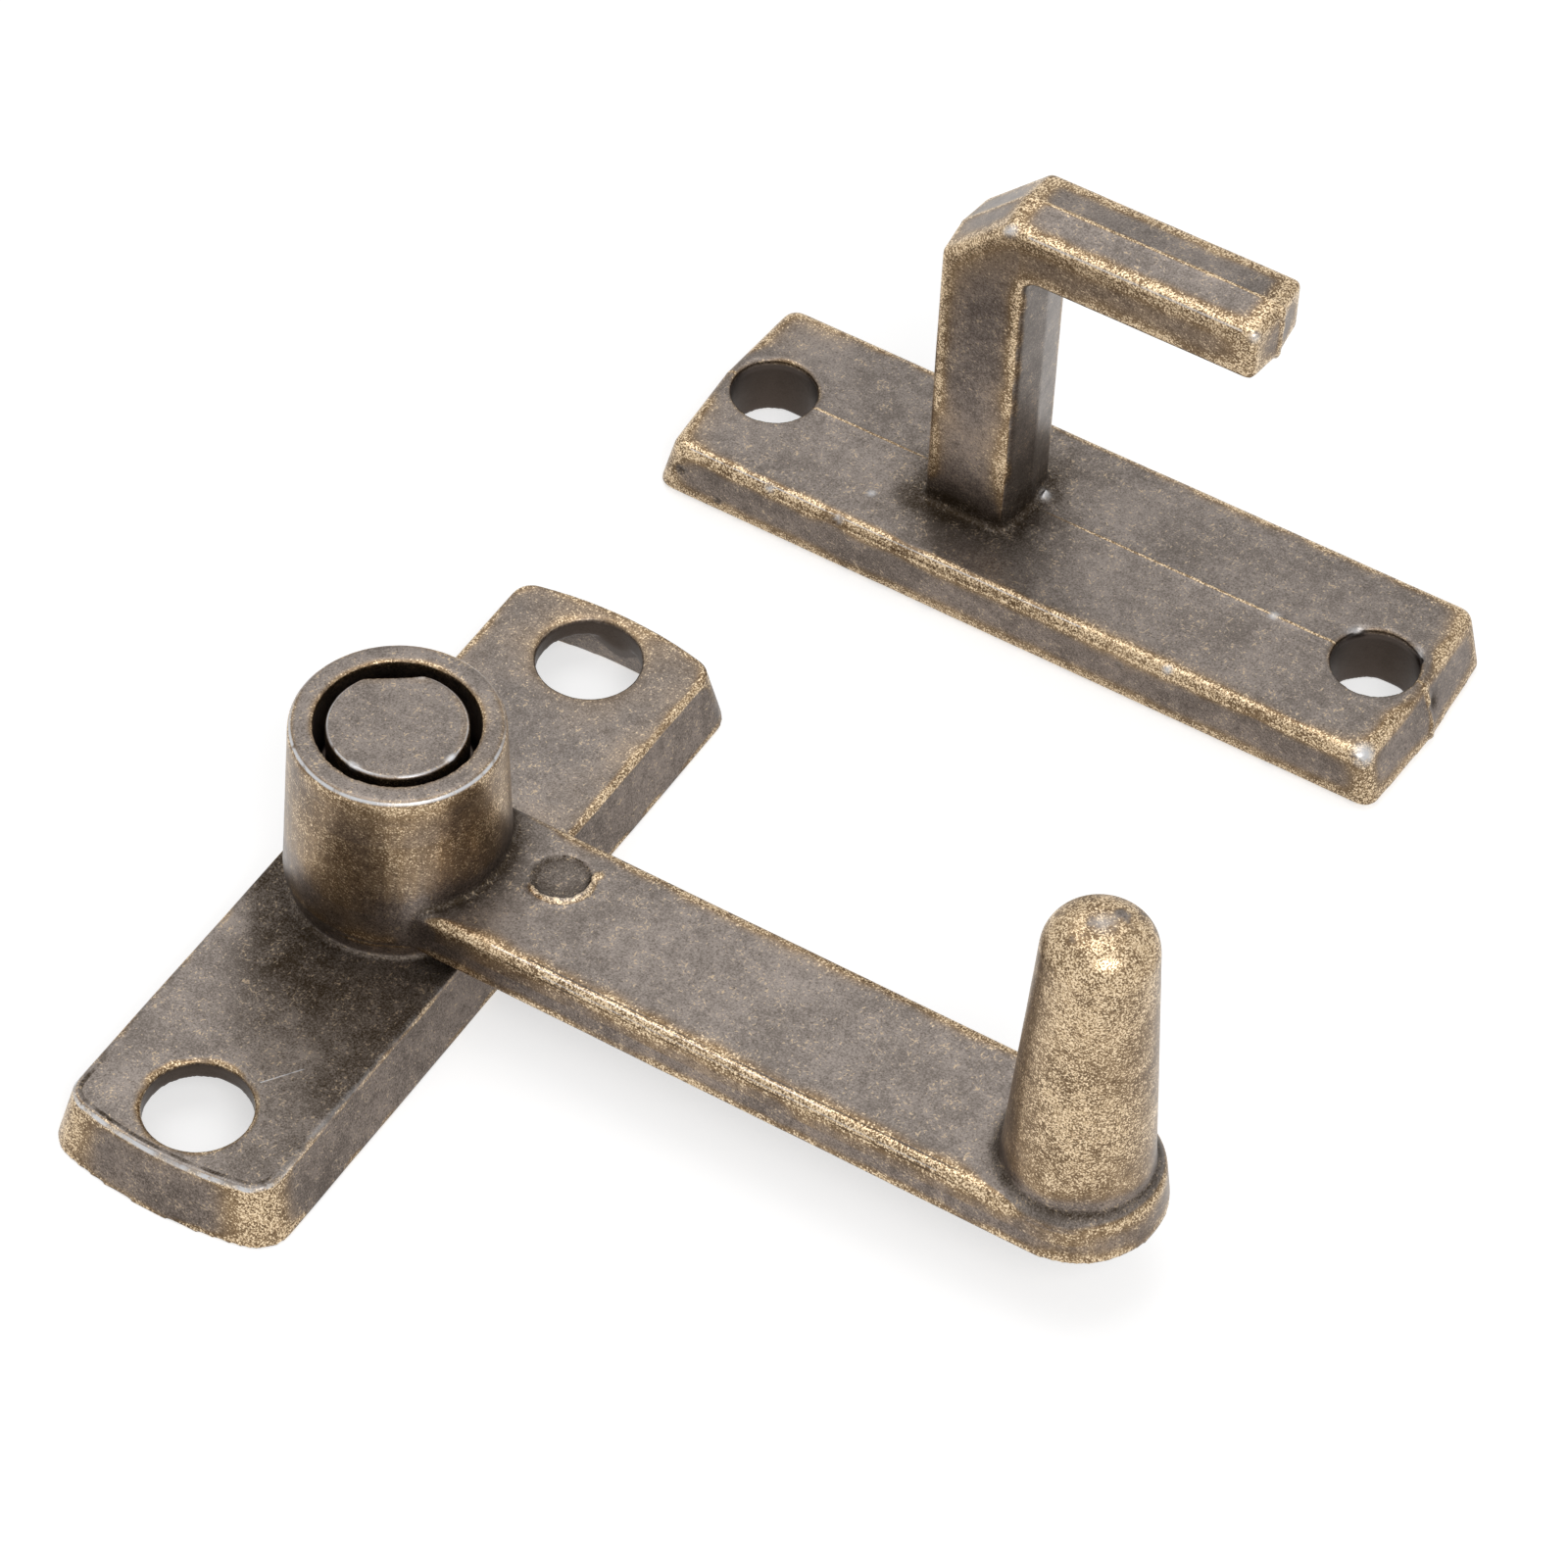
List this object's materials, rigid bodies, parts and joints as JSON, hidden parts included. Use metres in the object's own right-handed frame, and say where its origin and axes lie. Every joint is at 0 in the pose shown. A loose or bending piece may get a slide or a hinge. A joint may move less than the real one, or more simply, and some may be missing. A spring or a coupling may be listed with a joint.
{
  "type": "swing bar latch",
  "caption": "Swing bar latch in antique brass finish: hollow-backed plate, bar with boss and grip post turning on a rivet, and a separate hook keeper the bar swings under.",
  "frame": {"origin": "on the pivot axis, in the plane of the base plate's back", "axes": "+Z away from the mounting surface, Y along the base plate, +X along the arm at rest and along the keeper towards its hook's tip"},
  "size_m": [0.0495, 0.0672, 0.025],
  "materials": {
    "base_casting": "zinc die casting, antique brass plate with dark brown patina rubbed through on the edges",
    "rivet": "antique brass plate, dark patina, bright rim",
    "arm_casting": "zinc die casting, antique brass plate with dark brown patina rubbed through on the edges",
    "keeper_casting": "zinc die casting, antique brass plate with dark brown patina rubbed through on the edges"
  },
  "bodies": {
    "fixed": {"base_plate": "base_casting", "pivot_rivet": "rivet", "keeper": "keeper_casting"},
    "arm": {"swing_arm": "arm_casting"}
  },
  "joints": [
    {"name": "arm_swing", "type": "hinge", "parent": "fixed", "child": "arm", "pos_m": [0, 0, 0.00465], "axis": [0, 0, 1], "range_deg": [-270, 50]}
  ]
}
